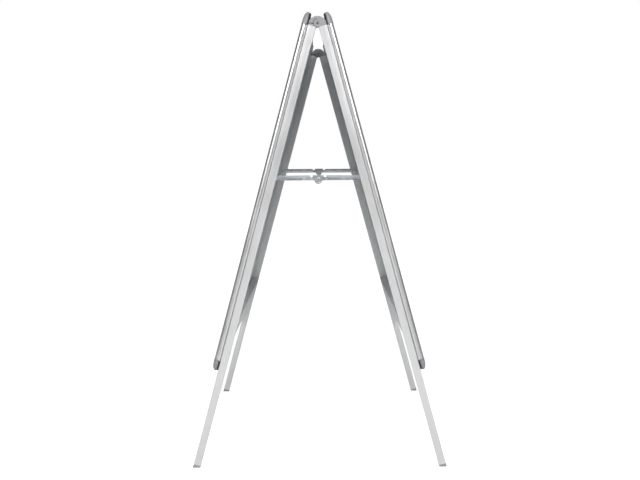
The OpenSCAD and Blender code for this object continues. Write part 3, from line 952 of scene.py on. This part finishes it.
def build_stay_arm(face, side):
    """A channel bar with a shallow V pressed along its web, an eye at the leg and a joggled tongue."""
    node = f"stay_arm_{face}_{side}"
    matrix, reach = stay_frame(face, side)
    start = FRONT_T if face == "front" else REAR_T
    low, high = -STAY_LOW, STAY_H - STAY_LOW
    end = reach - STAY_END

    def solid(outline, near, far, place=upright, name="cutter"):
        bm = new_mesh()
        add_prism(bm, outline, near, far, place)
        return make_object(bm, name, matrix)

    bar = rectangle(BAR_START, end, low, high, BAR_ROUND)
    arm = solid(bar, start, start + STAY_DEPTH, name=node + ".look")

    # two cuts along the bar, drawn as (b, t) sections: the V outside and the channel's hollow
    middle = (low + high) / 2
    groove = [
        (low + GROOVE_EDGE, start - PAST),
        (low + GROOVE_EDGE, start),
        (middle, start + GROOVE_T),
        (high - GROOVE_EDGE, start),
        (high - GROOVE_EDGE, start - PAST),
    ]
    floor_t = start + STAY_SKIN
    trough = [
        (low + STAY_SKIN, floor_t + STAY_DEPTH),
        (low + STAY_SKIN, floor_t),
        (middle, floor_t + GROOVE_T),
        (high - STAY_SKIN, floor_t),
        (high - STAY_SKIN, floor_t + STAY_DEPTH),
    ]
    for section, near, far in (
        (groove, BAR_START + EYE_R, end - GROOVE_EDGE),
        (trough, BAR_START - 3 * PAST, end + 3 * PAST),
    ):
        combine(arm, solid(section, near, far, lambda b, t, a: (a, b, t)), "DIFFERENCE")
    combine(arm, solid(circle_at(EYE_R), start, start + STAY_SKIN), "UNION")
    pivot_hole = circle_at(PIVOT_R + HOOK_GAP, 24)
    combine(arm, solid(pivot_hole, start - PAST, start + STAY_SKIN + PAST / 2), "DIFFERENCE")

    # the tongue in side view: (a, t) corners of the joggled strip, extruded over its height
    outside = [
        (end - TONGUE_LAP, start + TONGUE_INSET),
        (end, start + TONGUE_INSET),
        (end + JOGGLE, start + TONGUE_T),
        (reach, start + TONGUE_T),
    ]
    inside = [(a, t + STAY_SKIN) for a, t in outside[::-1]]
    combine(arm, solid(outside + inside, low, TONGUE_R, lambda a, t, b: (a, b, t)), "UNION")
    tip = [(reach + x, y) for x, y in circle_at(TONGUE_R)]
    combine(arm, solid(tip, start + TONGUE_T, start + TONGUE_T + STAY_SKIN), "UNION")
    combine(arm, solid(stud_hole(reach), start, start + STAY_DEPTH + PAST), "DIFFERENCE")
    finish_piece(arm, f"stay_{face}_{side}", [node], ZINC, bevel=0.25, sharp=30)


def stud_hole(reach):
    """Outline of the hole for a centre pin, at the stay's centre."""
    return [(reach + x, y) for x, y in circle_at(STUD_R + HOOK_GAP, 20)]


def build_lock_plate(side):
    """Flat plate over the stay's centre, with a dished round thumb lobe under it."""
    node = f"stay_lock_plate_{side}"
    matrix, reach = stay_frame("front", side)
    half = PLATE_W / 2
    lobe = [(reach + x, y) for x, y in arc((0, -STAY_LOW), LOBE_R, 200, 340)]
    outline = (
        [(reach - half, PLATE_TOP), (reach - half, -STAY_LOW + PLATE_LIFT)]
        + [(reach - half + PLATE_EDGE, -STAY_LOW - PLATE_DIP)]
        + lobe
        + [(reach + half - PLATE_EDGE, -STAY_LOW - PLATE_DIP)]
        + [(reach + half, -STAY_LOW + PLATE_LIFT), (reach + half, PLATE_TOP)]
    )
    bm = new_mesh()
    add_prism(bm, outline, FRONT_T, FRONT_T + PLATE_SKIN, upright)
    thing = make_object(bm, node + ".look", matrix)
    rim, edge, centre = (FRONT_T + depth for depth in DISH_DEPTHS)
    dish = [
        (0.0, FRONT_T - DISH_PAST),
        (DISH_R, FRONT_T - DISH_PAST),
        (DISH_R, rim),
        (DISH_FLOOR_R, edge),
        (0.0, centre),
    ]
    bm = new_mesh()
    add_turned(bm, dish, 360, 28, lambda x, y, h: (reach + x, -STAY_LOW - DISH_DROP + y, h))
    combine(thing, make_object(bm, "dish", matrix), "DIFFERENCE")
    bm = new_mesh()
    add_prism(bm, stud_hole(reach), FRONT_T - PAST, FRONT_T + PLATE_SKIN + PAST, upright)
    combine(thing, make_object(bm, "hole", matrix), "DIFFERENCE")
    finish_piece(thing, f"stay_front_{side}", [node], ZINC, bevel=0.25, sharp=30)


def build_centre_pin(face, side):
    """Headed pin through the tongue, domed at one end and flat at the other."""
    node = f"stay_centre_{'rivet' if face == 'front' else 'stud'}_{side}"
    matrix, reach = stay_frame(face, side)
    head_at = FRONT_T if face == "front" else REAR_T + TONGUE_T
    tail_at = (FRONT_T if face == "front" else REAR_T) + TONGUE_T + STAY_SKIN
    outline = (
        [(0.0, head_at - STUD_HEAD_T)]
        + domed_head(STUD_HEAD_R, head_at - STUD_HEAD_T, STUD_HEAD_T, 1)
        + [(STUD_R, head_at), (STUD_R, tail_at), (STUD_HEAD_R, tail_at)]
        + [(STUD_HEAD_R - STUD_CHAMFER, tail_at + STUD_TAIL_T), (0.0, tail_at + STUD_TAIL_T)]
    )
    bm = new_mesh()
    add_turned(bm, outline, 360, 28, lambda x, y, h: (reach + x, y, h))
    thing = make_object(bm, node + ".look", matrix)
    finish_piece(thing, f"stay_{face}_{side}", [node], ZINC, bevel=0, sharp=40)


def build_leg_pivot(face, side):
    """Rivet in the leg tube's side: tail, collar that sets the arm's distance, and domed head."""
    node = f"stay_pivot_{face}_{side}"
    matrix, _ = stay_frame(face, side)
    start = FRONT_T if face == "front" else REAR_T
    collar = start - COLLAR_GAP
    head = start + STAY_SKIN + COLLAR_GAP
    outline = (
        [(0.0, -SKIN - PIVOT_TAIL_T), (COLLAR_R - PIVOT_CHAMFER, -SKIN - PIVOT_TAIL_T)]
        + [(COLLAR_R, -SKIN - PIVOT_TAIL_T + PIVOT_CHAMFER), (COLLAR_R, -SKIN)]
        + [(PIVOT_R, -SKIN), (PIVOT_R, 0.0), (COLLAR_R, 0.0), (COLLAR_R, collar)]
        + [(PIVOT_R, collar), (PIVOT_R, head)]
        + domed_head(PIVOT_HEAD_R, head + PIVOT_HEAD_T, PIVOT_HEAD_T, -1)[::-1]
        + [(0.0, head + PIVOT_HEAD_T)]
    )
    bm = new_mesh()
    add_turned(bm, outline, 360, 32, lambda x, y, h: (x, y, h))
    thing = make_object(bm, node + ".look", matrix)
    finish_piece(thing, f"{face}_frame", [node], ZINC, bevel=0, sharp=40)


# ---------------------------------------------------------------- carried-over CAD nodes

def dress_cad_nodes():
    """Materials for the CAD nodes whose shape is already right."""
    for face in FACES:
        for kind, material in (
            ("back_panel", SHEET_STEEL),
            ("cover_sheet", FILM),
            ("snap_springs", SPRING_STEEL),
            ("frame_rivets", ZINC),
        ):
            node = frame["nodes"][f"{face}_{kind}"]
            node.data.materials.clear()
            node.data.materials.append(material)


# ---------------------------------------------------------------- studio

FLOOR_R = 40.0
FLOOR_FADE = (0.9, 2.6)  # distances over which the floor brightens to white, in metres
BACKDROP_SPAN = (-0.6, -0.9)  # sideways share of a direction over which the backdrop comes in
FLOOR_GLOW = 0.75
FLOOR_BOUNCE = 0.08
ROOM_GLOW = 0.05
BACKDROP_GLOW = 0.15
CAMERA_LENS = 44.6934375  # millimetres
CAMERA_WIDTH = 36.0


def build_floor():
    """A wide white floor. Its own glow grows with distance, so that it meets the white behind it."""
    bm = bmesh.new()
    rim = [2 * math.pi * i / 48 for i in range(48)]
    bm.faces.new([bm.verts.new((FLOOR_R * math.cos(t), FLOOR_R * math.sin(t), 0)) for t in rim])
    mesh = bpy.data.meshes.new("floor")
    bm.to_mesh(mesh)
    bm.free()
    floor = bpy.data.objects.new("floor", mesh)
    bpy.context.scene.collection.objects.link(floor)
    s = Shader("floor_white")
    s.surface.inputs["Base Color"].default_value = (0.8, 0.8, 0.8, 1)
    s.surface.inputs["Roughness"].default_value = 0.9
    s.surface.inputs["Specular IOR Level"].default_value = 0.0
    place = s.add("ShaderNodeNewGeometry").outputs["Position"]
    reach = s.add("ShaderNodeVectorMath", operation="LENGTH")
    s.link(place, reach.inputs[0])
    far = s.spread(reach.outputs["Value"], FLOOR_GLOW, 1.0, FLOOR_FADE)
    seen = s.add("ShaderNodeLightPath").outputs["Is Camera Ray"]
    glow = s.maths("ADD", s.maths("MULTIPLY", far, seen), FLOOR_BOUNCE)
    s.surface.inputs["Emission Color"].default_value = (1, 1, 1, 1)
    s.link(glow, s.surface.inputs["Emission Strength"])
    mesh.materials.append(s.material)


def build_world():
    """White to the camera. To the object it is a dim room with a white backdrop on the far side."""
    world = bpy.data.worlds.new("studio")
    bpy.context.scene.world = world
    world.use_nodes = True
    nodes, links = world.node_tree.nodes, world.node_tree.links
    nodes.clear()
    split = nodes.new("ShaderNodeSeparateXYZ")
    links.new(nodes.new("ShaderNodeTexCoord").outputs["Generated"], split.inputs["Vector"])
    backdrop = nodes.new("ShaderNodeMapRange")
    backdrop.inputs["From Min"].default_value = BACKDROP_SPAN[0]
    backdrop.inputs["From Max"].default_value = BACKDROP_SPAN[1]
    backdrop.inputs["To Min"].default_value = ROOM_GLOW
    backdrop.inputs["To Max"].default_value = BACKDROP_GLOW
    links.new(split.outputs["X"], backdrop.inputs["Value"])
    room = nodes.new("ShaderNodeBackground")
    links.new(backdrop.outputs["Result"], room.inputs["Strength"])
    seen = nodes.new("ShaderNodeBackground")
    mix = nodes.new("ShaderNodeMixShader")
    out = nodes.new("ShaderNodeOutputWorld")
    for background in (room, seen):
        background.inputs["Color"].default_value = (1, 1, 1, 1)
    links.new(nodes.new("ShaderNodeLightPath").outputs["Is Camera Ray"], mix.inputs["Fac"])
    links.new(room.outputs["Background"], mix.inputs[1])
    links.new(seen.outputs["Background"], mix.inputs[2])
    links.new(mix.outputs["Shader"], out.inputs["Surface"])


def softbox(name, spot, target, width, height, power):
    """Rectangular lamp at a spot, facing a target. Sizes are in metres and power in watts."""
    light = bpy.data.lights.new(name, "AREA")
    light.shape = "RECTANGLE"
    light.size = width
    light.size_y = height
    light.energy = power
    thing = bpy.data.objects.new(name, light)
    bpy.context.scene.collection.objects.link(thing)
    thing.location = spot
    thing.rotation_euler = (Vector(target) - Vector(spot)).to_track_quat("-Z", "Y").to_euler()


def build_camera():
    """Stands square to the stand's right side, a little above its middle and looking slightly down."""
    pan, pitch, roll = (math.radians(v) for v in (-0.081, 6.63, -0.296))
    spot = Vector((2.190, 0.006, 0.7804))
    level = Vector((-math.cos(pan), math.sin(pan), 0))
    right = Vector((math.sin(pan), math.cos(pan), 0))
    up = Vector((0, 0, 1))
    ahead = level * math.cos(pitch) - up * math.sin(pitch)
    above = up * math.cos(pitch) + level * math.sin(pitch)
    x_axis = right * math.cos(roll) + above * math.sin(roll)
    y_axis = above * math.cos(roll) - right * math.sin(roll)
    data = bpy.data.cameras.new("camera")
    data.sensor_width = CAMERA_WIDTH
    data.lens = CAMERA_LENS
    data.clip_end = 200.0
    camera = bpy.data.objects.new("camera", data)
    bpy.context.scene.collection.objects.link(camera)
    camera.matrix_world = Matrix.Translation(spot) @ Matrix((x_axis, y_axis, -ahead)).transposed().to_4x4()
    bpy.context.scene.camera = camera


# ---------------------------------------------------------------- build everything

for face in FACES:
    build_rails(face)
    build_corners(face)
    build_tubes(face)
    build_feet(face)
    for side in SIDES:
        build_hinge_half(face, side)
        build_stay_arm(face, side)
        build_centre_pin(face, side)
        build_leg_pivot(face, side)
for side in SIDES:
    build_hinge_pin(side)
    build_seam_shade_strips(side)
    build_lock_plate(side)
dress_cad_nodes()

build_floor()
build_world()
for side, offset in (("left", -2.25), ("right", 2.25)):
    softbox(f"key_{side}", (2.8, offset, 2.45), (0, 0, 1.0), 2.2, 1.6, 102)
softbox("top", (-0.4, 0, 3.0), (0, 0, 0.6), 1.2, 2.4, 8)
build_camera()
bpy.context.scene.view_settings.view_transform = "Standard"
